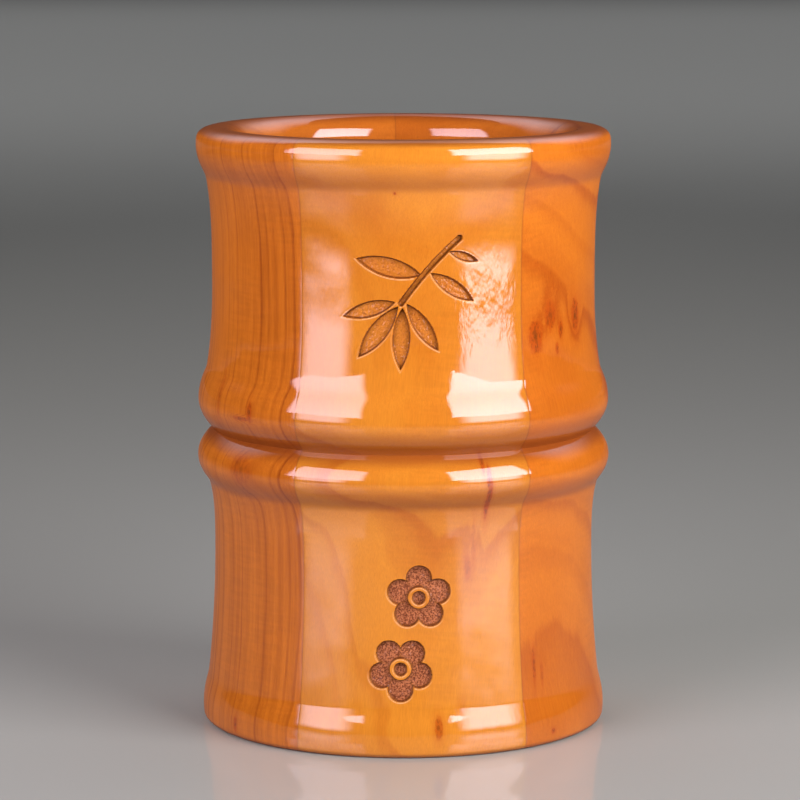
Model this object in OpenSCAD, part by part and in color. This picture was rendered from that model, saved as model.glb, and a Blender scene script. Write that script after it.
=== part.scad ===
// Brush pot turned like two joints of bamboo: five glued staves around a floor disc.
// The origin is the centre of the foot on the table, with +Z up and the front of the pot facing -Y.

/* [Pot] */
// Overall height
pot_h = 144.3; // [110:0.1:180]
// Radius at the rim, the widest place
rim_r = 50; // [40:0.5:62]
// Height of the groove that parts the two segments
groove_z = 71.6; // [56:0.1:88]
// Radial thickness of the wall at the rim
rim_wall = 11.3; // [9:0.1:14]

/* [Turned outside] */
// How far the groove is cut in from the rim radius
groove_depth = 3.8; // [2.5:0.1:5]
// How far the upper segment's waist is drawn in
upper_waist_in = 3.7; // [2:0.1:5]
// How far the lower segment's waist is drawn in
lower_waist_in = 4; // [2:0.1:5]
// Where the upper waist is, as a share of the way from its bead to the rim
upper_waist_at = 0.48; // [0.35:0.01:0.65]
// Where the lower waist is, as a share of the way from the foot to its bead
lower_waist_at = 0.66; // [0.4:0.01:0.7]
// How far the upper segment's bead is inside the rim radius
upper_bead_in = 0.2; // [0:0.1:1]
// Height of the upper bead above the groove
upper_bead_up = 7; // [5:0.1:9]
// Height of the groove above the lower bead
lower_bead_down = 6.7; // [5:0.1:9]
// Roundness of the upper bead on its waist side
upper_bead_round = 13.5; // [8:0.5:18]
// Roundness of the lower bead on its waist side
lower_bead_round = 6.3; // [4:0.1:12]
// Roundness below the rim
rim_round = 12; // [8:0.5:18]
// How far the foot is inside the rim radius
foot_in = 0.9; // [0:0.1:2]
// Height of the foot's widest place
foot_z = 3.2; // [2:0.1:6]
// Roundness above the foot
foot_round = 20; // [12:0.5:30]
// Radius of the foot's bottom edge
foot_edge = 1.4; // [0.8:0.1:2]

/* [Lip] */
// Height of the lip's outer rounding
lip_h = 3.9; // [3:0.1:5]
// Radial width of the lip's outer rounding
lip_out = 5.8; // [4:0.1:7]
// Height of the lip's inner rounding
lip_in_h = 6; // [4:0.1:8]

/* [Floor] */
// Thickness of the floor disc
disc_t = 8; // [5:0.5:12]
// How far the disc is let up into the foot
disc_recess = 2; // [1:0.1:4]
// Width of the ledge that the disc is glued up against
ledge_w = 3.8; // [2:0.1:5]
// Clearance all round the disc for glue
glue_gap = 0.05; // [0:0.01:0.15]

/* [Staves] */
// Angle from the front to the first joint on the right
joint_turn = 36.2; // [20:0.1:50]
// Angle that the front stave takes up; the other four share the rest
front_turn = 66.7; // [55:0.1:75]

/* [Carving] */
// Depth of the carved ornament
carve_depth = 1.1; // [0.6:0.1:1.8]
// Height of the leaf sprig, as a share of the upper segment's height
sprig_share = 0.42; // [0.3:0.01:0.5]
// Height of the blossoms, as a share of the lower segment's height
blossom_share = 0.46; // [0.3:0.01:0.5]
// Height of the sprig's middle, as a share of the upper segment's height
sprig_at = 0.48; // [0.4:0.01:0.55]
// Height of the blossoms' middle, as a share of the lower segment's height
blossom_at = 0.41; // [0.35:0.01:0.5]
// How far the ornament is to the right of the front
carve_x = 1.3; // [-3:0.1:3]

/* [Hidden] */
$fn = 144;

plain_staves = 4;
plain_turn = (360 - front_turn) / plain_staves;
plain_start = joint_turn - 90;
front_start = plain_start - front_turn;

rim_z = pot_h - lip_h;
crest_r = rim_r - lip_out;
bore_r = rim_r - rim_wall;
groove_r = rim_r - groove_depth;
foot_r = rim_r - foot_in;

upper_bead_z = groove_z + upper_bead_up;
upper_bead_r = rim_r - upper_bead_in;
upper_waist_z = upper_bead_z + (rim_z - upper_bead_z) * upper_waist_at;
upper_waist_r = rim_r - upper_waist_in;

lower_bead_z = groove_z - lower_bead_down;
lower_bead_r = rim_r;
lower_waist_z = foot_z + (lower_bead_z - foot_z) * lower_waist_at;
lower_waist_r = rim_r - lower_waist_in;

ledge_z = disc_recess + disc_t;
rebate_r = bore_r + ledge_w;
disc_r = rebate_r - glue_gap;

upper_h = pot_h - groove_z;
sprig_h = upper_h * sprig_share;
sprig_z = groove_z + upper_h * sprig_at;
blossom_h = groove_z * blossom_share;
blossom_z = groove_z * blossom_at;

// How softly a bead runs into the flank beside it
cove = 0.4;
// How fast each flank swells away from its waist
under_rim_power = 3.2;
over_bead_power = 2.5;
under_bead_power = 3;
over_foot_power = 2;
// Squareness of the lip's two roundings, where 2 is an ellipse
lip_out_square = 3;
lip_in_square = 2.2;
lip_steps = 8;
flank_step = 1.8;

// The blend rises above the larger value only where the two are closer than cove.
function blended(a, b) = max(a, b) + pow(max(cove - abs(a - b), 0), 2) / (4 * cove);
function flank(z, waist_z, waist_r, bead_z, bead_r, power) =
    waist_r + (bead_r - cove - waist_r) * pow((z - waist_z) / (bead_z - waist_z), power);
function bead(z, bead_z, bead_r, roundness) = bead_r - pow(z - bead_z, 2) / (2 * roundness);
function swell(z, waist_z, waist_r, bead_z, bead_r, power, roundness) =
    blended(flank(z, waist_z, waist_r, bead_z, bead_r, power), bead(z, bead_z, bead_r, roundness));
// A bead's side towards the groove is a parabola that meets the groove's bottom.
function into_groove(z, bead_z, bead_r) =
    bead_r - (bead_r - groove_r) * pow((z - bead_z) / (groove_z - bead_z), 2);

function lower_r(z) =
    z > lower_bead_z ? into_groove(z, lower_bead_z, lower_bead_r)
    : z > lower_waist_z
        ? swell(z, lower_waist_z, lower_waist_r, lower_bead_z, lower_bead_r,
                under_bead_power, lower_bead_round)
    : z > foot_z
        ? swell(z, lower_waist_z, lower_waist_r, foot_z, foot_r, over_foot_power, foot_round)
    : bead(z, foot_z, foot_r, foot_round);
function upper_r(z) =
    z < upper_bead_z ? into_groove(z, upper_bead_z, upper_bead_r)
    : z < upper_waist_z
        ? swell(z, upper_waist_z, upper_waist_r, upper_bead_z, upper_bead_r,
                over_bead_power, upper_bead_round)
    : swell(z, upper_waist_z, upper_waist_r, rim_z, rim_r, under_rim_power, rim_round);
function outer_r(z) = z < groove_z ? lower_r(z) : upper_r(z);

// Points up the outside from one height to another, each inset by the same amount.
function outside(z0, z1, inset = 0) =
    let (steps = ceil((z1 - z0) / flank_step))
    [for (i = [0:steps]) let (z = z0 + (z1 - z0) * i / steps) [outer_r(z) - inset, z]];

// One quarter of a rounding, from its side (0) to its top (steps).
function quarter(width, height, square) =
    [for (i = [0:lip_steps])
        let (a = 90 * i / lip_steps)
        [width * pow(cos(a), 2 / square), height * pow(sin(a), 2 / square)]];
function reversed(points) = [for (i = [len(points) - 1:-1:0]) points[i]];

foot_edge_step = 18;
function foot_edge_points() =
    [for (a = [-90:foot_edge_step:-1])
        [outer_r(foot_edge) - foot_edge * (1 - cos(a)), foot_edge * (1 + sin(a))]];
function lip_points() = concat(
    [for (p = quarter(lip_out, lip_h, lip_out_square)) [crest_r + p.x, rim_z + p.y]],
    [for (p = reversed(quarter(crest_r - bore_r, lip_in_h, lip_in_square)))
        if (p.x > 0) [crest_r - p.x, pot_h - lip_in_h + p.y]]);

function stave_outline() = concat(
    foot_edge_points(),
    outside(foot_edge, lower_bead_z),
    outside(lower_bead_z, groove_z),
    outside(groove_z, upper_bead_z),
    outside(upper_bead_z, rim_z),
    lip_points(),
    [[bore_r, ledge_z], [rebate_r, ledge_z], [rebate_r, 0]]);

// A leaf from its stalk at the origin to its tip on +X, between two arcs.
module leaf(length, width) {
    arc_r = (pow(length, 2) + pow(width, 2)) / (4 * width);
    intersection() {
        translate([length / 2, width / 2 - arc_r]) circle(arc_r);
        translate([length / 2, arc_r - width / 2]) circle(arc_r);
    }
}

// A drooping bamboo sprig, drawn one unit high about its middle: place, direction and length of each leaf.
sprig_leaves = [
    [[-0.10, 0.02], 196, 0.42],
    [[-0.08, -0.01], 232, 0.50],
    [[-0.05, -0.02], 268, 0.48],
    [[-0.02, 0.01], 304, 0.44],
    [[0.10, 0.22], 166, 0.52],
    [[0.16, 0.24], 326, 0.40],
    [[0.30, 0.40], 340, 0.24],
];
leaf_slimness = 0.29;
// The stem bows a little to the left between its ends.
stem_ends = [[-0.06, 0.01], [0.38, 0.50]];
stem_bow = 0.02;
stem_w = 0.05;
stem_steps = 6;
module stem(height) {
    run = stem_ends[1] - stem_ends[0];
    across = [-run.y, run.x] / norm(run);
    function edge(side) = [for (i = [0:stem_steps])
        let (t = i / stem_steps)
        (stem_ends[0] + run * t + across * (4 * stem_bow * t * (1 - t) + side * stem_w / 2)) * height];
    polygon(concat(edge(-1), reversed(edge(1))));
}
module sprig(height) {
    for (l = sprig_leaves)
        translate(l[0] * height) rotate(l[1]) leaf(l[2] * height, l[2] * leaf_slimness * height);
    stem(height);
}

// Plum blossoms, drawn one unit high about their middle: place and turn of each.
blossoms = [
    [[0.07, 0.255], 18],
    [[-0.06, -0.255], 54],
];
petal_r = 0.094;
petal_out = 0.14;
// A ring is left standing between the petals and the heart.
ring_r = 0.075;
heart_r = 0.05;
module blossom(height) {
    difference() {
        union()
            for (i = [0:4]) rotate(72 * i) translate([petal_out * height, 0]) circle(petal_r * height);
        circle(ring_r * height);
    }
    circle(heart_r * height);
}
module blossom_pair(height) {
    for (b = blossoms) translate(b[0] * height) rotate(b[1]) blossom(height);
}

// What the carver takes out: an upright drawing pushed in from the front as far as an even depth.
// The drawing's height is given, and the inner face of the cut reaches a little past both its ends.
carve_past = 1.2;
module carved(z, height) {
    low = z - height * carve_past / 2;
    high = z + height * carve_past / 2;
    difference() {
        translate([carve_x, -bore_r, z]) rotate([90, 0, 0]) linear_extrude(rim_r) children();
        rotate_extrude() polygon(concat(outside(low, high, carve_depth), [[0, high], [0, low]]));
    }
}

module stave(start, turn) {
    rotate([0, 0, start]) rotate_extrude(angle = turn) polygon(stave_outline());
}

module plain_stave(place) { stave(plain_start + place * plain_turn, plain_turn); }

module stave_front() {
    color("sandybrown") difference() {
        stave(front_start, front_turn);
        carved(sprig_z, sprig_h) sprig(sprig_h);
        carved(blossom_z, blossom_h) blossom_pair(blossom_h);
    }
}
module stave_right() { color("darkorange") plain_stave(0); }
module stave_back_right() { color("peru") plain_stave(1); }
module stave_back_left() { color("sandybrown") plain_stave(2); }
module stave_left() { color("chocolate") plain_stave(3); }

module floor_disc() {
    color("peru") translate([0, 0, disc_recess]) cylinder(h = disc_t, r = disc_r);
}

stave_front();
stave_right();
stave_back_right();
stave_back_left();
stave_left();
floor_disc();
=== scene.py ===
import math

import bpy
import numpy as np
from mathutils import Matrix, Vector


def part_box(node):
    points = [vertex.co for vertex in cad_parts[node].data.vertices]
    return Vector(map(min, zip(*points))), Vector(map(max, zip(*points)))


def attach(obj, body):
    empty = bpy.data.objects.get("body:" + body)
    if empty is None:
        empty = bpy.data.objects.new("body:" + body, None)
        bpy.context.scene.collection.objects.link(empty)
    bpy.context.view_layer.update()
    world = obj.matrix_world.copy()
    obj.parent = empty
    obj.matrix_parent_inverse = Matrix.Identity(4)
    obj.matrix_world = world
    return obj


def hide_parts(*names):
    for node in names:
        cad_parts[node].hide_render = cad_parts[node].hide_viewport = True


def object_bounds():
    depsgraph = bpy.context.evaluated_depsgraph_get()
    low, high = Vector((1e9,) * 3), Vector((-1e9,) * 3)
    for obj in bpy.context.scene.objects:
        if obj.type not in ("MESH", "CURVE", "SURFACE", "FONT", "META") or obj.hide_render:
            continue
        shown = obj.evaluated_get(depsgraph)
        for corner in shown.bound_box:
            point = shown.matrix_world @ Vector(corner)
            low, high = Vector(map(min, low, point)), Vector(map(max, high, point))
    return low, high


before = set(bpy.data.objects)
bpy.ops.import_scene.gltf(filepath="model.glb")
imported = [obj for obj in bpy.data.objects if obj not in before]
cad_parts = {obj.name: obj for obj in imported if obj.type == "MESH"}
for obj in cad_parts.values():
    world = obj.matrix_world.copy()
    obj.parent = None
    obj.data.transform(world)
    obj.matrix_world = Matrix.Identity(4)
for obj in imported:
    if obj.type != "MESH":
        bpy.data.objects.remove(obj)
cad_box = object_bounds()

# --- The table top, the camera and the lights ---------------------------------------------
# The pot stands on a pale polished table between two upright light boxes and is seen from a
# little above through a long lens. Two weaker panels light its back, and four flat lamps hang
# high up round the table, to light the table itself.
mm = 0.001
pot_height = cad_box[1][2]
rim_r = (cad_box[1][1] - cad_box[0][1]) / 2

camera_data = bpy.data.cameras.new("long_lens")
camera_data.sensor_width = 36
camera_data.lens = 163.2
camera_data.clip_end = 50
camera = bpy.data.objects.new("long_lens", camera_data)
camera.location = (-0.8 * mm, -874 * mm, 206.6 * mm)
look_down = math.radians(8.4)
camera.rotation_euler = (math.pi / 2 - look_down, 0, 0)
bpy.context.collection.objects.link(camera)
bpy.context.scene.camera = camera
bpy.context.scene.view_settings.view_transform = "Standard"


def wire(tree, kind, inputs=None, **settings):
    """One shader node with its settings, and its inputs set to values or joined to sockets."""
    made = tree.nodes.new("ShaderNode" + kind)
    for name, value in settings.items():
        setattr(made, name, value)
    for name, value in (inputs or {}).items():
        if isinstance(value, bpy.types.NodeSocket):
            tree.links.new(value, made.inputs[name])
        else:
            made.inputs[name].default_value = value
    return made


def finish_named(name):
    """A new material, its node tree and its principled shader."""
    finish = bpy.data.materials.new(name)
    finish.use_nodes = True
    return finish, finish.node_tree, finish.node_tree.nodes["Principled BSDF"]


def set_sockets(shader, **values):
    """Sets the shader's own sockets, such as Coat_Weight=1."""
    for name, value in values.items():
        shader.inputs[name.replace("_", " ")].default_value = value


polish, tree, shader = finish_named("polished_pale_table")
set_sockets(shader, Base_Color=(0.38, 0.405, 0.350, 1), Roughness=0.5, Specular_IOR_Level=0.1,
            Coat_Weight=0.7, Coat_Roughness=0.07)
table_half = 6.0
corners = [(-table_half, -table_half, 0), (table_half, -table_half, 0),
           (table_half, table_half, 0), (-table_half, table_half, 0)]
table_mesh = bpy.data.meshes.new("table_top")
table_mesh.from_pydata(corners, [], [(0, 1, 2, 3)])
table_mesh.materials.append(polish)
table_top = bpy.data.objects.new("table_top", table_mesh)
bpy.context.collection.objects.link(table_top)

world = bpy.data.worlds.new("dim_room")
world.use_nodes = True
world.node_tree.nodes["Background"].inputs["Color"].default_value = (1.0, 1.0, 1.0, 1)
world.node_tree.nodes["Background"].inputs["Strength"].default_value = 0.03
bpy.context.scene.world = world


def maths(tree, operation, *values, clamp=False):
    """The result socket of one sum on numbers or sockets."""
    made = tree.nodes.new("ShaderNodeMath")
    made.operation = operation
    made.use_clamp = clamp
    for socket, value in zip(made.inputs, values):
        if isinstance(value, bpy.types.NodeSocket):
            tree.links.new(value, socket)
        else:
            socket.default_value = value
    return made.outputs[0]


def ramped(tree, value, low, high, to_low=0.0, to_high=1.0):
    """A value carried smoothly from one range to another."""
    made = wire(tree, "MapRange", {"Value": value, "From Min": low, "From Max": high,
                                   "To Min": to_low, "To Max": to_high},
                interpolation_type="SMOOTHSTEP")
    return made.outputs[0]


def soft_lamp(name, width, height, radiance, tint, fans_out):
    """A flat lamp, whose light fans out over so many degrees. It shines down until it is turned."""
    lamp = bpy.data.lights.new(name, "AREA")
    lamp.shape = "RECTANGLE"
    lamp.size = width
    lamp.size_y = height
    lamp.energy = radiance * math.pi * width * height
    lamp.color = tint
    lamp.spread = math.radians(fans_out)
    lit = bpy.data.objects.new(name, lamp)
    bpy.context.collection.objects.link(lit)
    return lit


def light_panel(name, turn, distance, width, bottom, top, radiance, feather, fade_up, tint,
                fans_out=180):
    """An upright glowing panel that faces the pot, so many degrees round from the front.

    Its glow fades out over a share of its width at each side, and over a share of its height
    from the bottom.
    """
    lit = soft_lamp(name, width, top - bottom, radiance, tint, fans_out)
    lit.data.use_nodes = True
    tree = lit.data.node_tree
    spot = wire(tree, "SeparateXYZ", {0: wire(tree, "NewGeometry").outputs["Parametric"]})
    from_middle = maths(tree, "ABSOLUTE", maths(tree, "SUBTRACT", spot.outputs[0], 0.5))
    glow = ramped(tree, maths(tree, "SUBTRACT", 0.5, from_middle), 0.0, feather)
    if fade_up:
        glow = maths(tree, "MULTIPLY", glow, ramped(tree, spot.outputs[1], 0.0, fade_up))
    tree.links.new(glow, tree.nodes["Emission"].inputs["Strength"])
    turned = math.radians(turn)
    lit.location = (distance * math.sin(turned), -distance * math.cos(turned), (bottom + top) / 2)
    lit.rotation_euler = (math.pi / 2, 0, turned)


# Each front box has a dimmer skirt of diffuser cloth below and its full glow above, both behind
# a grid that narrows their fan. The table leans to green, and the lamps' gels balance it.
skirt = dict(distance=0.62, bottom=0.010, top=0.15, fade_up=0.45, fans_out=140)
upper_box = dict(distance=0.62, bottom=0.15, top=0.62, fade_up=0.0, fans_out=140)
fill = dict(distance=1.1, width=2.1, bottom=0.30, top=1.9, feather=0.45, fade_up=0.5)
left_gel = (0.95, 0.83, 0.99)
right_gel = (0.98, 0.90, 1.0)
overhead_gel = (0.93, 0.875, 1.0)
light_panel("left_skirt", -45, width=0.42, radiance=3.75, feather=0.30, tint=left_gel, **skirt)
light_panel("left_box", -44, width=0.54, radiance=5.25, feather=0.10, tint=left_gel, **upper_box)
light_panel("right_skirt", 49, width=0.46, radiance=5.1, feather=0.22, tint=right_gel, **skirt)
light_panel("right_box", 49, width=0.56, radiance=7.7, feather=0.08, tint=right_gel, **upper_box)
light_panel("back_left_fill", -145, radiance=2.2, tint=right_gel, **fill)
light_panel("back_right_fill", 140, radiance=2.3, tint=right_gel, **fill)
overhead_long = 5.0
overhead_wide = 3.5
overhead_z = 1.9
for number, (x, y) in enumerate([(0, 3.2), (0, -4.3), (4.3, 0), (-4.3, 0)]):
    sides = (overhead_long, overhead_wide) if x == 0 else (overhead_wide, overhead_long)
    overhead = soft_lamp("background_light_" + str(number), *sides, 1.0, overhead_gel, 70)
    overhead.location = (x, y, overhead_z)

# --- The five staves ----------------------------------------------------------------------
# Five boards of fruitwood, bevelled, glued edge to edge and turned on the lathe into two
# swelling segments like bamboo, with a full round lip, then sealed under clear gloss lacquer.
# Angles are in degrees round from the front, towards the right.
groove_z = 71.6 * mm
rim_wall = 11.3 * mm
groove_depth = 3.8 * mm
upper_waist_in = 3.7 * mm
lower_waist_in = 4.0 * mm
upper_waist_at = 0.48
lower_waist_at = 0.66
upper_bead_in = 0.2 * mm
upper_bead_up = 7.0 * mm
lower_bead_down = 6.7 * mm
upper_bead_round = 13.5 * mm
lower_bead_round = 6.3 * mm
rim_round = 12.0 * mm
foot_in = 0.9 * mm
foot_z = 3.2 * mm
foot_round = 20.0 * mm
foot_edge = 1.4 * mm
lip_h = 3.9 * mm
lip_out = 5.8 * mm
lip_in_h = 6.0 * mm
lip_square = 3.0
lip_in_square = 2.2
foot_power = 2.0
under_groove_power = 3.0
over_groove_power = 2.5
under_rim_power = 3.2
cove = 0.4 * mm
ledge_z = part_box("floor_disc")[1][2]
rebate_r = 42.5 * mm
rebate_chamfer = 0.5 * mm
glue_line_w = 0.2 * mm
glue_line_dip = 0.012 * mm
joint_turn = 36.2
front_turn = 66.7
plain_turn = (360 - front_turn) / 4

rim_z = pot_height - lip_h
crest_r = rim_r - lip_out
bore_r = rim_r - rim_wall
groove_r = rim_r - groove_depth
foot_r = rim_r - foot_in
upper_bead_z = groove_z + upper_bead_up
upper_bead_r = rim_r - upper_bead_in
upper_waist_z = upper_bead_z + (rim_z - upper_bead_z) * upper_waist_at
upper_waist_r = rim_r - upper_waist_in
lower_bead_z = groove_z - lower_bead_down
lower_bead_r = rim_r
lower_waist_z = foot_z + (lower_bead_z - foot_z) * lower_waist_at
lower_waist_r = rim_r - lower_waist_in


def swell(z, waist_z, waist_r, bead_z, bead_r, power, roundness):
    """Radius between a waist and the bead that it swells out to."""
    share = np.clip((z - waist_z) / (bead_z - waist_z), 0, None)
    flank = waist_r + (bead_r - cove - waist_r) * share ** power
    bead = bead_r - (z - bead_z) ** 2 / (2 * roundness)
    near = np.clip(cove - np.abs(flank - bead), 0, None)
    return np.maximum(flank, bead) + near ** 2 / (4 * cove)


def into_groove(z, bead_z, bead_r):
    """Radius on the side of a bead that falls into the groove."""
    return bead_r - (bead_r - groove_r) * ((z - bead_z) / (groove_z - bead_z)) ** 2


def outer_radius(z):
    """Radius of the turned outside at each height, below the lip."""
    z = np.asarray(z, float)
    regions = [z < foot_z, z < lower_waist_z, z < lower_bead_z, z < groove_z,
               z < upper_bead_z, z < upper_waist_z]
    radii = [
        foot_r - (z - foot_z) ** 2 / (2 * foot_round),
        swell(z, lower_waist_z, lower_waist_r, foot_z, foot_r, foot_power, foot_round),
        swell(z, lower_waist_z, lower_waist_r, lower_bead_z, lower_bead_r, under_groove_power,
              lower_bead_round),
        into_groove(z, lower_bead_z, lower_bead_r),
        into_groove(z, upper_bead_z, upper_bead_r),
        swell(z, upper_waist_z, upper_waist_r, upper_bead_z, upper_bead_r, over_groove_power,
              upper_bead_round),
    ]
    rest = swell(z, upper_waist_z, upper_waist_r, rim_z, rim_r, under_rim_power, rim_round)
    return np.select(regions, radii, rest)


def quarter(width, height, square, steps):
    """One quarter of a lip rounding, from its side to its top."""
    turned = np.linspace(0, math.pi / 2, steps)
    return np.stack([width * np.cos(turned).clip(0) ** (2 / square),
                     height * np.sin(turned) ** (2 / square)], 1)


def stave_outline(heights):
    """The section of the wall, up the outside, over the lip and down inside.

    Also gives how many of its points, counted from the foot, are on the outside below the lip.
    """
    foot_steps, lip_steps, lip_in_steps, bore_steps = 7, 18, 16, 14
    foot_turn = np.linspace(-math.pi / 2, 0, foot_steps)[:-1]
    foot_side = outer_radius(foot_edge)
    foot = np.stack([foot_side - foot_edge * (1 - np.cos(foot_turn)),
                     foot_edge * (1 + np.sin(foot_turn))], 1)
    outside = np.stack([outer_radius(heights), heights], 1)
    lip = quarter(lip_out, lip_h, lip_square, lip_steps)[1:] + (crest_r, rim_z)
    inner = quarter(crest_r - bore_r, lip_in_h, lip_in_square, lip_in_steps)[:-1][::-1] * (-1, 1)
    inner = inner + (crest_r, pot_height - lip_in_h)
    bore_heights = np.linspace(inner[-1][1], ledge_z, bore_steps + 1)[1:]
    bore = np.stack([np.full(bore_steps, bore_r), bore_heights], 1)
    ledge = np.array([(rebate_r, ledge_z), (rebate_r, rebate_chamfer),
                      (rebate_r + rebate_chamfer, 0)])
    return np.concatenate([foot, outside, lip, inner, bore, ledge]), len(foot) + len(outside)


def new_piece(name, points, faces, finish, sharp=35):
    """A smooth-shaded piece from its points and faces."""
    mesh = bpy.data.meshes.new(name)
    mesh.from_pydata([tuple(p) for p in points], [], faces)
    mesh.polygons.foreach_set("use_smooth", [True] * len(mesh.polygons))
    mesh.set_sharp_from_angle(angle=math.radians(sharp))
    mesh.materials.append(finish)
    piece = bpy.data.objects.new(name, mesh)
    bpy.context.collection.objects.link(piece)
    return piece


def paint(piece, name, values):
    """Keeps one number per point for the finish to read."""
    layer = piece.data.attributes.new(name, "FLOAT", "POINT")
    layer.data.foreach_set("value", np.asarray(values, np.float32).ravel())


def swept(grid):
    """Faces of a closed section swept through the columns of a grid, with both ends capped."""
    columns, rows = grid.shape[:2]
    index = np.arange(columns * rows).reshape(columns, rows)
    beside = np.roll(index, -1, axis=1)
    quads = np.stack([index[:-1], index[1:], beside[1:], beside[:-1]], -1).reshape(-1, 4)
    return quads.tolist() + [index[0].tolist(), index[-1][::-1].tolist()]


def around(turns, outline):
    """Points of an outline set up at each angle round from the front, one column an angle."""
    turns = np.radians(np.asarray(turns))[:, None]
    radius, height = outline[None, :, 0], outline[None, :, 1]
    return np.stack([radius * np.sin(turns), -radius * np.cos(turns),
                     height + 0 * turns], -1)


def arris(turns, start, end, rows_outside, grid):
    """Draws the lacquer down a hair along both glued edges, and gives how near each point is."""
    edge = np.minimum(np.abs(turns - start), np.abs(turns - end)) * math.pi / 180 * rim_r
    near = np.exp(-(edge / glue_line_w) ** 2)
    inward = 1 - near[:, None, None] * (glue_line_dip / rim_r)
    grid[:, :rows_outside, :2] *= inward
    return np.repeat(near[:, None], grid.shape[1], 1)


def tinted(tree, factor, under, over, blend="MIX"):
    """One colour laid over another."""
    made = tree.nodes.new("ShaderNodeMix")
    made.data_type = "RGBA"
    made.blend_type = blend
    for number, value in ((0, factor), (6, under), (7, over)):
        if isinstance(value, bpy.types.NodeSocket):
            tree.links.new(value, made.inputs[number])
        else:
            made.inputs[number].default_value = value
    return made.outputs[2]


def stretched(tree, vector, by):
    """Coordinates scaled along each axis, which draws a pattern out along the others."""
    return wire(tree, "VectorMath", {0: vector, 1: by}, operation="MULTIPLY").outputs[0]


def cloud(tree, vector, scale, detail=2.0, roughness=0.5):
    """Soft random mottling from 0 to 1."""
    made = wire(tree, "TexNoise", {"Vector": vector, "Scale": scale, "Detail": detail,
                                   "Roughness": roughness})
    return made.outputs[0]


def centred(tree, value):
    """A value from 0 to 1 carried down to half each side of nothing."""
    return maths(tree, "SUBTRACT", value, 0.5)


def plus(tree, total, value, times):
    """A total with so many times a value added to it."""
    return maths(tree, "ADD", total, maths(tree, "MULTIPLY", value, times))


def in_millimetres(tree):
    """A piece's own coordinates, in millimetres."""
    return stretched(tree, wire(tree, "TexCoord").outputs["Object"], (1 / mm, 1 / mm, 1 / mm))


def painted(tree, name):
    """The number per point that was kept on a piece by paint()."""
    return wire(tree, "Attribute", attribute_name=name).outputs["Fac"]


def colour(red, green, blue):
    """One opaque colour."""
    return (red, green, blue, 1.0)


def knotted(tree, turned, knots):
    """Where knots stain a board, the darker flecks in them, and how far they push its rings aside.

    A knot has its angle round from the middle of the board in degrees, how high it stands and
    the width and height of its heart in millimetres, and how dark it is.
    """
    face_r = 48.0
    flat = wire(tree, "SeparateXYZ", {0: turned})
    turn = maths(tree, "ARCTAN2", flat.outputs[0], maths(tree, "MULTIPLY", flat.outputs[1], -1.0))
    arc = maths(tree, "MULTIPLY", turn, face_r)
    rough = centred(tree, cloud(tree, turned, 0.9, 4.0, 0.65))
    fleck = cloud(tree, stretched(tree, turned, (1, 1, 0.45)), 1.5, 3.0, 0.6)
    fleck = ramped(tree, fleck, 0.47, 0.62)
    stain, flecks, push = 0.0, 0.0, 0.0
    for degrees, height, wide, tall, depth in knots:
        aside = maths(tree, "SUBTRACT", arc, math.radians(degrees) * face_r)
        aside = maths(tree, "DIVIDE", aside, wide)
        above = maths(tree, "DIVIDE", maths(tree, "SUBTRACT", flat.outputs[2], height), tall)
        reach = maths(tree, "SQRT", maths(tree, "ADD", maths(tree, "POWER", aside, 2.0),
                                          maths(tree, "POWER", above, 2.0)))
        reach = plus(tree, reach, rough, 1.2)
        push = maths(tree, "ADD", push, ramped(tree, reach, 3.4, 0.4, 0.0, 1.3 * wide))
        disc = ramped(tree, reach, 1.75, 0.8, 0.0, 0.85 * depth)
        halo = ramped(tree, reach, 3.0, 1.0, 0.0, 0.25 * depth)
        stain = maths(tree, "MAXIMUM", stain, maths(tree, "MAXIMUM", disc, halo))
        within = maths(tree, "MULTIPLY", fleck, ramped(tree, reach, 1.3, 0.8, 0.0, 0.62 * depth))
        heart = ramped(tree, reach, 0.55, 0.05, 0.0, 0.8 * depth)
        flecks = maths(tree, "MAXIMUM", flecks, maths(tree, "MAXIMUM", within, heart))
    return stain, flecks, push


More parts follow.
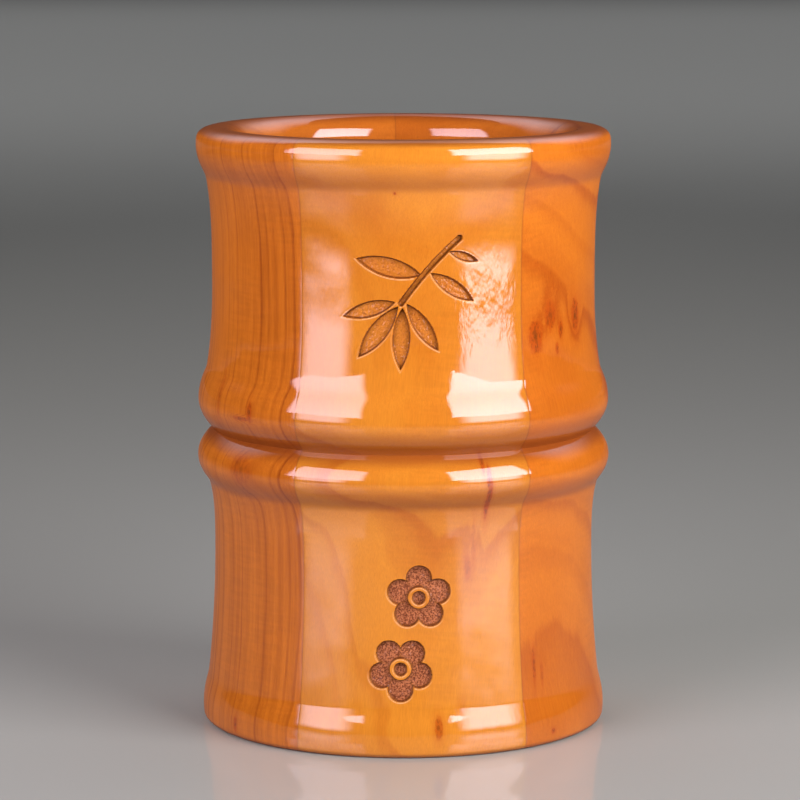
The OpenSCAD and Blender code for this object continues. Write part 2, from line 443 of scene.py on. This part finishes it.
def lacquered_wood(name, facing, board):
    """Wood of one board, which faces so many degrees round, under clear lacquer.

    The grain is cut from growth rings round a pith line. Gives the material, its tree and
    shader, and the sockets of its colour and of its gloss.
    """
    finish, tree, shader = finish_named(name)
    place = in_millimetres(tree)

    # The board's own axes: X across its face, Y into it, Z along it, with the pith at the origin.
    turned = wire(tree, "Mapping", {"Vector": place, "Rotation": (0, 0, -math.radians(facing))},
                  vector_type="POINT").outputs[0]
    wood = wire(tree, "Mapping", {
        "Vector": turned,
        "Location": (-board["pith"][0], -board["pith"][1], 0),
        "Rotation": (math.radians(board["lean"][0]), math.radians(board["lean"][1]), 0),
    }, vector_type="POINT").outputs[0]
    flat = wire(tree, "SeparateXYZ", {0: wood})
    across_pith = wire(tree, "CombineXYZ", {0: flat.outputs[0], 1: flat.outputs[1]}).outputs[0]
    ring_distance = wire(tree, "VectorMath", {0: across_pith}, operation="LENGTH").outputs["Value"]
    sway = centred(tree, cloud(tree, stretched(tree, wood, (1, 1, 0.35)), 0.03, 2.0))
    shiver = centred(tree, cloud(tree, stretched(tree, wood, (1, 1, 0.22)), 0.16, 2.0))
    ring_distance = plus(tree, ring_distance, sway, board["wander"])
    ring_distance = plus(tree, ring_distance, shiver, board["shiver"])
    stain, flecks, push = knotted(tree, turned, [(k[0] - facing,) + k[1:] for k in board["knots"]])
    ring_distance = maths(tree, "ADD", ring_distance, push)

    # Each year's growth ends in a thin darker line, some years far stronger than others.
    phase = maths(tree, "DIVIDE", ring_distance, board["ring"])
    year = maths(tree, "FLOOR", phase)
    season = maths(tree, "FRACT", phase)
    vigour = wire(tree, "TexWhiteNoise", {"W": year}, noise_dimensions="1D").outputs["Value"]
    late = maths(tree, "MULTIPLY", ramped(tree, season, 0.5, 0.86), ramped(tree, season, 1.0, 0.88))
    late = maths(tree, "MULTIPLY", late, maths(tree, "POWER", vigour, 1.5))
    along = maths(tree, "MULTIPLY", flat.outputs[2], 0.02)
    rings_only = wire(tree, "CombineXYZ", {0: ring_distance, 2: along}).outputs[0]
    band = cloud(tree, rings_only, board["band_scale"], 3.0, 0.6)
    fibre = cloud(tree, stretched(tree, wood, (1, 1, 0.02)), 1.6, 3.0, 0.6)
    hair = cloud(tree, stretched(tree, wood, (1, 1, 0.05)), 6.0, 2.0, 0.55)
    pores = cloud(tree, stretched(tree, wood, (1, 1, 0.07)), 4.2, 2.0, 0.6)
    pores = ramped(tree, pores, 0.64, 0.76)
    mottle = cloud(tree, stretched(tree, place, (1, 1, 0.55)), 0.055, 3.0)

    # Ripple figure: short bars of light across the grain, only in places.
    across = cloud(tree, stretched(tree, wood, (0.14, 0.14, 1.0)), 1.0, 1.0)
    where = ramped(tree, cloud(tree, stretched(tree, turned, (1, 1, 0.4)), 0.05, 1.0), 0.46, 0.6)
    ripple = maths(tree, "MULTIPLY", ramped(tree, across, 0.38, 0.62, -1.0, 1.0), where)

    tone = maths(tree, "MULTIPLY", ramped(tree, band, 0.32, 0.7), board["band"])
    tone = plus(tree, tone, late, board["line"])
    tone = plus(tree, tone, centred(tree, fibre), board["fibre"])
    tone = plus(tree, tone, centred(tree, mottle), board["mottle"])
    tone = maths(tree, "ADD", tone, board["depth"], clamp=True)
    paint_colour = tinted(tree, tone, board["pale"], board["deep"])

    shade = plus(tree, 1.0, centred(tree, hair), 0.42)
    shade = plus(tree, shade, ripple, board["ripple"])
    shade = plus(tree, shade, pores, -0.15)
    grey = wire(tree, "CombineColor", {0: shade, 1: shade, 2: shade}).outputs[0]
    paint_colour = tinted(tree, 1.0, paint_colour, grey, "MULTIPLY")
    knot_red = colour(0.33, 0.048, 0.002)
    knot_brown = colour(0.125, 0.032, 0.003)
    paint_colour = tinted(tree, stain, paint_colour, knot_red)
    paint_colour = tinted(tree, flecks, paint_colour, knot_brown)

    # End grain on the lip and under the foot drinks the finish and turns browner, and it is painted
    # darker still as painted shade, standing in for the dark reflection on the lip's top.
    normal = wire(tree, "SeparateXYZ", {0: wire(tree, "TexCoord").outputs["Normal"]}).outputs[2]
    end_grain_and_painted_shade = ramped(tree, maths(tree, "ABSOLUTE", normal), 0.45, 1.0, 0.0, 0.68)
    paint_colour = tinted(tree, end_grain_and_painted_shade, paint_colour, colour(0.15, 0.030, 0.004))

    # Painted shade: the undersides of the swellings are painted deeper, where less light reaches
    # them.
    under = ramped(tree, normal, -0.04, -0.5, 0.0, 0.45)
    paint_colour = tinted(tree, under, paint_colour, colour(0.17, 0.026, 0.002))

    # Stain gathers in the groove and painted shade darkens it further, and glue shows dark along
    # both edges of a board.
    height = wire(tree, "SeparateXYZ", {0: place}).outputs[2]
    from_groove = maths(tree, "ABSOLUTE", maths(tree, "SUBTRACT", height, groove_z / mm))
    groove_stain_and_shade = ramped(tree, from_groove, 3.6, 0.3, 0.0, 0.72)
    paint_colour = tinted(tree, groove_stain_and_shade, paint_colour, colour(0.20, 0.045, 0.008))
    glue = maths(tree, "MULTIPLY", painted(tree, "glue_line"), 0.4)
    paint_colour = tinted(tree, glue, paint_colour, colour(0.13, 0.03, 0.007))
    tree.links.new(paint_colour, shader.inputs["Base Color"])

    grain_bump = wire(tree, "Bump", {"Height": maths(tree, "ADD", fibre, pores), "Strength": 0.25,
                                     "Distance": 0.05 * mm})
    tree.links.new(grain_bump.outputs[0], shader.inputs["Normal"])

    # The lacquer is level in the large, faintly wavy, and sinks a little into open grain.
    wave = cloud(tree, place, 0.09, 1.0)
    open_grain = cloud(tree, stretched(tree, turned, (1, 1, 0.6)), 0.06, 1.0)
    open_grain = ramped(tree, open_grain, 0.42, 0.68, 0.0, 0.5)
    if "open_at" in board:
        away = wire(tree, "VectorMath", {0: turned, 1: board["open_at"]}, operation="SUBTRACT")
        away = stretched(tree, away.outputs[0], (1 / 9, 0, 1 / 15))
        away = wire(tree, "VectorMath", {0: away}, operation="LENGTH").outputs["Value"]
        open_grain = maths(tree, "MAXIMUM", open_grain, ramped(tree, away, 1.2, 0.5, 0.0, 2.6))
    sinking = cloud(tree, stretched(tree, place, (1, 1, 0.4)), 0.6, 2.0)
    sinking = maths(tree, "MULTIPLY", open_grain, sinking)
    level = maths(tree, "ADD", maths(tree, "MULTIPLY", wave, 3.0), sinking)
    lacquer_wave = wire(tree, "Bump", {"Height": level, "Strength": 0.4, "Distance": 0.14 * mm})
    tree.links.new(lacquer_wave.outputs[0], shader.inputs["Coat Normal"])

    # Gloss is held back where it is seen edge-on, or the pale table would show along every edge.
    edge_on = wire(tree, "LayerWeight", {"Blend": 0.5}).outputs["Facing"]
    gloss = ramped(tree, edge_on, 0.35, 0.95, 1.0, 0.4)
    tree.links.new(gloss, shader.inputs["Coat Weight"])
    set_sockets(shader, Roughness=0.5, Specular_IOR_Level=0.02, Coat_Roughness=0.035, Coat_IOR=1.6)
    return finish, tree, shader, paint_colour, gloss


# Each board has a pale and a deep colour, its pith's place from the pot's axis in millimetres,
# its lean in degrees, the width of a year's ring, how far the rings wander and shiver, how fine
# its bands are, and how strong its bands, year lines, fibre, mottle and ripple are. The angle of
# each of its knots is counted from the front of the pot.
boards = {
    "stave_right": dict(
        pale=colour(0.49, 0.138, 0.009), deep=colour(0.31, 0.060, 0.003), pith=(-5.7, -15.3),
        lean=(14, 0), ring=3.9, wander=3, shiver=1.2, band_scale=0.17, band=0.45, line=0.66,
        fibre=0.5, mottle=0.5, depth=0.05, ripple=0.03,
        knots=[(41.5, 97.5, 1.9, 3.3, 1.0), (47.8, 102.3, 1.6, 3.0, 0.85),
               (52.6, 98.5, 0.8, 1.7, 1.0), (61, 101.3, 1.7, 3.4, 1.0),
               (50.6, 94.2, 0.6, 1.2, 0.9), (46.6, 3.2, 0.55, 0.55, 1.0),
               (41, 19.5, 0.45, 4.4, 0.7), (44, 17, 0.4, 2.6, 0.5)]),
    "stave_back_right": dict(
        pale=colour(0.45, 0.125, 0.011), deep=colour(0.28, 0.058, 0.004), pith=(-20, 45),
        lean=(-3, 4), ring=3.6, wander=6, shiver=1.4, band_scale=0.13, band=0.5, line=0.6,
        fibre=0.5, mottle=0.5, depth=0.08, ripple=0.05,
        knots=[(138, 52, 1.6, 2.4, 0.75), (141, 47, 0.7, 1.0, 0.8)]),
    "stave_back_left": dict(
        pale=colour(0.48, 0.142, 0.013), deep=colour(0.33, 0.078, 0.006), pith=(12, 30),
        lean=(5, -2), ring=4.4, wander=8, shiver=1.6, band_scale=0.1, band=0.5, line=0.5,
        fibre=0.45, mottle=0.5, depth=0.02, ripple=0.03,
        knots=[(215, 112, 1.1, 1.8, 0.7), (212, 30, 0.5, 2.6, 0.5)]),
    "stave_left": dict(
        pale=colour(0.47, 0.130, 0.008), deep=colour(0.25, 0.050, 0.003), pith=(-96, -30),
        lean=(0.2, 0.8), ring=2.1, wander=3, shiver=1.0, band_scale=0.3, band=0.5, line=0.62,
        fibre=0.6, mottle=0.6, depth=-0.04, ripple=0.035,
        knots=[(313.4, 79.6, 0.7, 1.9, 0.95), (310, 77.8, 2.4, 0.4, 0.85),
               (309.8, 65.5, 3.0, 2.8, 0.5), (305, 3.4, 0.6, 1.4, 0.9), (298, 82, 0.5, 4.6, 0.5)]),
}


def face_turns(start, end, between):
    """Angles across a stave's face, which stand closer together beside its glued edges."""
    close = np.array([0, 0.1, 0.25, 0.6])
    return np.concatenate([start + close, between, end - close[::-1]])


edge_strip = 1.2
plain_heights = np.unique(np.concatenate([
    np.linspace(foot_edge, lower_bead_z, 92), np.linspace(lower_bead_z, upper_bead_z, 34),
    np.linspace(upper_bead_z, rim_z, 92)]))
outline, rows_outside = stave_outline(plain_heights)
for number, (name, board) in enumerate(boards.items()):
    start = joint_turn + number * plain_turn
    end = start + plain_turn
    turns = face_turns(start, end, np.linspace(start + edge_strip, end - edge_strip, 58))
    grid = around(turns, outline)
    glue_near = arris(turns, start, end, rows_outside, grid)
    wood, *_ = lacquered_wood(name + "_wood", start + plain_turn / 2, board)
    stave = new_piece(name + "_turned", grid.reshape(-1, 3), swept(grid), wood)
    paint(stave, "glue_line", glue_near)
    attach(stave, "root")
    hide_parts(name)

# --- The front stave and its carving ------------------------------------------------------
# The palest board faces the front. A carver has cut a drooping leaf sprig and two plum
# blossoms into it with a knife, cleared the ground flat and punched it rough.
carve_depth = 1.1 * mm
carve_x = 1.3 * mm
upper_h = pot_height - groove_z
sprig_h = upper_h * 0.42
sprig_z = groove_z + upper_h * 0.48
blossom_h = groove_z * 0.46
blossom_z = groove_z * 0.41
# A leaf has its root, in heights of the sprig, the way that it points, and its length. A blossom
# has its heart, in heights of the pair, and the way that its first petal points.
sprig_leaves = [
    ((-0.10, 0.02), 196, 0.42), ((-0.08, -0.01), 232, 0.50), ((-0.05, -0.02), 268, 0.48),
    ((-0.02, 0.01), 304, 0.44), ((0.10, 0.22), 166, 0.52), ((0.16, 0.24), 326, 0.40),
    ((0.30, 0.40), 340, 0.24),
]
leaf_slimness = 0.29
stem_ends = np.array([(-0.06, 0.01), (0.38, 0.50)])
stem_bow = 0.02
stem_w = 0.05
blossoms = [((0.07, 0.255), 18), ((-0.06, -0.255), 54)]
petal_r = 0.094
petal_out = 0.14
ring_r = 0.075
heart_r = 0.05


def leaf_edge(across, up, root, turn, length):
    """Distance outside one leaf, which lies between two arcs."""
    turned = math.radians(turn)
    x, y = across - root[0], up - root[1]
    along = x * math.cos(turned) + y * math.sin(turned) - length / 2
    beside = y * math.cos(turned) - x * math.sin(turned)
    width = length * leaf_slimness
    arc_r = (length ** 2 + width ** 2) / (4 * width)
    return np.maximum(np.hypot(along, beside - (width / 2 - arc_r)),
                      np.hypot(along, beside + (width / 2 - arc_r))) - arc_r


def stem_edge(across, up):
    """Distance outside the bowed stem."""
    run = stem_ends[1] - stem_ends[0]
    side = np.array([-run[1], run[0]]) / np.hypot(*run)
    share = np.linspace(0, 1, 40)[:, None]
    path = stem_ends[0] + run * share + side * (4 * stem_bow * share * (1 - share))
    reach = [np.hypot(across - x, up - y) for x, y in path]
    return np.min(reach, axis=0) - stem_w / 2


def sprig_edge(across, up):
    """Distance outside the leaf sprig, in heights of the sprig."""
    leaves = [leaf_edge(across, up, *leaf) for leaf in sprig_leaves]
    return np.min(leaves + [stem_edge(across, up)], axis=0)


def blossom_edge(across, up):
    """Distance outside the two blossoms, in heights of the pair."""
    found = []
    for (x, y), turn in blossoms:
        from_heart = np.hypot(across - x, up - y)
        petals = []
        for petal_turn in np.radians(turn + 72 * np.arange(5)):
            petal_x = across - x - petal_out * math.cos(petal_turn)
            petal_y = up - y - petal_out * math.sin(petal_turn)
            petals.append(np.hypot(petal_x, petal_y) - petal_r)
        found.append(np.maximum(np.min(petals, axis=0), ring_r - from_heart))
        found.append(from_heart - heart_r)
    return np.min(found, axis=0)


def carving_edge(across, height):
    """Distance outside the nearer carving, in metres."""
    across = across - carve_x
    sprig = sprig_edge(across / sprig_h, (height - sprig_z) / sprig_h) * sprig_h
    pair = blossom_edge(across / blossom_h, (height - blossom_z) / blossom_h) * blossom_h
    return np.minimum(sprig, pair)


# The mesh is fine over the two carvings and coarser round them.
fine = 0.205 * mm
carve_reach = 0.55
blossom_low = blossom_z - blossom_h * carve_reach
blossom_high = blossom_z + blossom_h * carve_reach
sprig_low = sprig_z - sprig_h * carve_reach
sprig_high = sprig_z + sprig_h * carve_reach
heights = np.unique(np.concatenate([
    np.linspace(foot_edge, blossom_low, 12), np.arange(blossom_low, blossom_high, fine),
    np.linspace(blossom_high, sprig_low, 54), np.arange(sprig_low, sprig_high, fine),
    np.linspace(sprig_high, rim_z, 30)]).round(7))
outline, rows_outside = stave_outline(heights)

start, end = joint_turn - front_turn, joint_turn
half_carving = 0.545 * sprig_h
fine_across = np.arange(carve_x - half_carving, carve_x + half_carving, fine)
fine_turns = np.degrees(np.arcsin(fine_across / upper_waist_r))
turns = face_turns(start, end, np.concatenate([
    np.linspace(start + edge_strip, fine_turns[0], 12)[:-1], fine_turns,
    np.linspace(fine_turns[-1], end - edge_strip, 14)[1:]]))
grid = around(turns, outline)
glue_near = arris(turns, start, end, rows_outside, grid)

# The points nearest the drawing's line are drawn onto it, so that the knife's edge is clean.
skin = grid[:, :rows_outside]
across, height = skin[..., 0].copy(), skin[..., 2].copy()
edge = carving_edge(across, height)
step = 0.02 * mm
slope_x = (carving_edge(across + step, height) - edge) / step
slope_z = (carving_edge(across, height + step) - edge) / step
least_steep = 0.3
snap_reach = 0.55 * fine
steep = np.clip(np.hypot(slope_x, slope_z), least_steep, None)
snap = np.where(np.abs(edge) < snap_reach, -edge / steep ** 2, 0)
across += snap * slope_x
height += snap * slope_z
edge = np.where(np.abs(snap) > 0, 0, edge)

# The cut goes down its wall to a flat punched ground, and its upper edge is rubbed round.
wall_run = 0.34 * mm
wall_hollow = 0.8
ground_run = 0.3 * mm
punch_depth = 0.055 * mm
rubbed_run = 0.3 * mm
rubbed_depth = 0.02 * mm
stain_run = 0.5 * mm
inside = np.clip(-edge, 0, None)
sunk = np.clip(inside / wall_run, 0, 1)
rng = np.random.default_rng(11)
punched = rng.standard_normal(edge.shape)
punched = (punched + np.roll(punched, 1, 0) + np.roll(punched, 1, 1)
           + np.roll(punched, (1, 1), (0, 1))) / 2
ground = np.clip((inside - wall_run) / ground_run, 0, 1)
rubbed = np.exp(-(edge / rubbed_run) ** 2) * (edge > 0)
depth = carve_depth * sunk ** wall_hollow + punched * ground * punch_depth + rubbed * rubbed_depth
radius = outer_radius(np.clip(height, foot_edge, rim_z))
radius = np.where(height < foot_edge, np.hypot(skin[..., 0], skin[..., 1]), radius)
side_turn = np.arcsin(np.clip(across / radius, -1, 1))
cut = (np.abs(snap) > 0) | (depth > 1e-6)
cut_radius = radius - depth
skin[..., 0] = np.where(cut, cut_radius * np.sin(side_turn), skin[..., 0])
skin[..., 1] = np.where(cut, -cut_radius * np.cos(side_turn), skin[..., 1])
skin[..., 2] = np.where(cut, height, skin[..., 2])

# The lacquer is uneven over open grain at one place, given in millimetres.
front_board = dict(
    pale=colour(0.49, 0.176, 0.014), deep=colour(0.37, 0.102, 0.006), pith=(-9, 12),
    lean=(9, -4), ring=3.4, wander=11, shiver=2.6, band_scale=0.17, band=0.6, line=0.6,
    fibre=0.5, mottle=0.9, depth=-0.06, ripple=0.03,
    knots=[(22.1, 69.6, 0.45, 2.0, 1.0), (23.6, 66.0, 0.5, 2.4, 1.1),
           (24.0, 61.0, 0.55, 4.2, 1.15), (20.6, 50.5, 0.5, 4.5, 0.4), (19.0, 44.5, 0.7, 2.6, 0.5),
           (9.8, 7.2, 0.8, 2.2, 0.85), (-2.4, 132.2, 0.3, 0.3, 1.0)],
    open_at=(17, -43, 105))
wood, tree, shader, wood_colour, gloss = lacquered_wood(
    "stave_front_wood", start + front_turn / 2, front_board)
cut_in = painted(tree, "cut_in")
place = in_millimetres(tree)
speckle = cloud(tree, place, 2.6)
ground_colour = tinted(tree, ramped(tree, speckle, 0.38, 0.62), colour(0.13, 0.034, 0.012),
                       colour(0.36, 0.125, 0.048))

# The lower carving's ground is stained far darker than the upper one's.
height = wire(tree, "SeparateXYZ", {0: place}).outputs[2]
stained = ramped(tree, height, groove_z / mm - 2, groove_z / mm + 2, 1.0, 0.25)
carved_colour = tinted(tree, maths(tree, "MULTIPLY", cut_in, stained), wood_colour, ground_colour)
# The walls of the cuts are painted dark: stain in the knife line, and painted shade.
carved_colour = tinted(tree, painted(tree, "knife_stain_and_shade"), carved_colour,
                       colour(0.075, 0.018, 0.005))
# A pale painted highlight along the edge below each cut.
carved_colour = tinted(tree, painted(tree, "painted_edge_highlight"), carved_colour, colour(0.80, 0.50, 0.26))
tree.links.new(carved_colour, shader.inputs["Base Color"])
gloss = maths(tree, "MULTIPLY", gloss, ramped(tree, cut_in, 0.3, 0.9, 1.0, 0.22))
tree.links.new(gloss, shader.inputs["Coat Weight"])
tree.links.new(ramped(tree, cut_in, 0.3, 0.9, 0.42, 0.62), shader.inputs["Roughness"])


def on_skin(values):
    """Values for the outside of the front stave, and nothing for the rest of it."""
    layer = np.zeros(grid.shape[:2])
    layer[:, :rows_outside] = values
    return layer


front = new_piece("stave_front_carved", grid.reshape(-1, 3), swept(grid), wood)
paint(front, "glue_line", glue_near)
paint(front, "cut_in", on_skin(np.clip(inside / stain_run, 0, 1)))

# Stain sits in the knife line and painted shade darkens the wall, and a pale painted highlight runs
# along the edge below each cut.
knife_stain_and_shade = np.clip(inside / (0.1 * mm), 0, 1) * np.exp(-(inside / (0.36 * mm)) ** 4)
paint(front, "knife_stain_and_shade", on_skin(knife_stain_and_shade))
# The painted highlight lies just outside each cut, on its lower side.
below = np.clip(-slope_z - 0.35 * slope_x, 0, 1)
painted_edge_highlight = 0.6 * below * np.exp(-((edge - 0.16 * mm) / (0.14 * mm)) ** 2) * (edge > 0)
paint(front, "painted_edge_highlight", on_skin(painted_edge_highlight))
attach(front, "root")
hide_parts("stave_front")

# --- The floor disc -----------------------------------------------------------------------
# A round board turned to fit the rebate in the foot and glued up against its ledge. Its grain
# runs across the pot. Each face keeps the faint rings of the lathe tool, and a flat pip where
# the turner's centre held it.
disc_low, disc_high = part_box("floor_disc")
glue_gap = 0.05 * mm
disc_r = rebate_r - glue_gap
disc_chamfer = 0.5 * mm
disc_pip = 0.6 * mm
disc_step = 0.4 * mm
disc_columns = 144
ridge = 0.03 * mm
ridge_pitch = 1.6 * mm
year_ring = 4.2
year_sway = 14.0


def disc_face(height, outwards):
    """Rings of one face of the disc, from its middle out."""
    radii = np.arange(disc_pip, disc_r - disc_chamfer, disc_step)
    ring_wave = ridge * np.cos(radii / ridge_pitch * 2 * math.pi)
    return np.stack([radii, height + outwards * (ring_wave - ridge)], 1)


under = disc_face(disc_low[2], -1)
over = disc_face(disc_high[2], 1)[::-1]
side = np.array([(disc_r - disc_chamfer, disc_low[2]), (disc_r, disc_low[2] + disc_chamfer),
                 (disc_r, disc_high[2] - disc_chamfer), (disc_r - disc_chamfer, disc_high[2])])
section = np.concatenate([under, side, over])
grid = around(np.arange(disc_columns) * 360 / disc_columns, section)
rows = len(section)
index = np.arange(disc_columns * rows).reshape(disc_columns, rows)
beside = np.roll(index, -1, axis=0)
quads = np.stack([index[:, :-1], beside[:, :-1], beside[:, 1:], index[:, 1:]], -1)
faces = quads.reshape(-1, 4).tolist() + [index[:, 0][::-1].tolist(), index[:, -1].tolist()]

finish, tree, shader = finish_named("floor_disc_wood")
place = in_millimetres(tree)
bent = cloud(tree, stretched(tree, place, (0.3, 1, 1)), 0.05, 2.0)
layer = plus(tree, wire(tree, "SeparateXYZ", {0: place}).outputs[1], bent, year_sway)
season = maths(tree, "FRACT", maths(tree, "DIVIDE", layer, year_ring))
late = maths(tree, "MULTIPLY", ramped(tree, season, 0.4, 0.92), ramped(tree, season, 1.0, 0.94))
fibre = cloud(tree, stretched(tree, place, (0.025, 1, 1)), 2.2, 3.0, 0.6)
tone = maths(tree, "ADD", maths(tree, "MULTIPLY", late, 0.5), maths(tree, "MULTIPLY", fibre, 0.6),
             clamp=True)
floor_colour = tinted(tree, tone, colour(0.46, 0.135, 0.012), colour(0.28, 0.065, 0.005))
tree.links.new(floor_colour, shader.inputs["Base Color"])
grain_bump = wire(tree, "Bump", {"Height": fibre, "Strength": 0.3, "Distance": 0.06 * mm})
tree.links.new(grain_bump.outputs[0], shader.inputs["Normal"])
set_sockets(shader, Roughness=0.5, Specular_IOR_Level=0.1, Coat_Weight=0.6, Coat_Roughness=0.12)

disc = new_piece("floor_disc_turned", grid.reshape(-1, 3), faces, finish)
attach(disc, "root")
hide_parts("floor_disc")
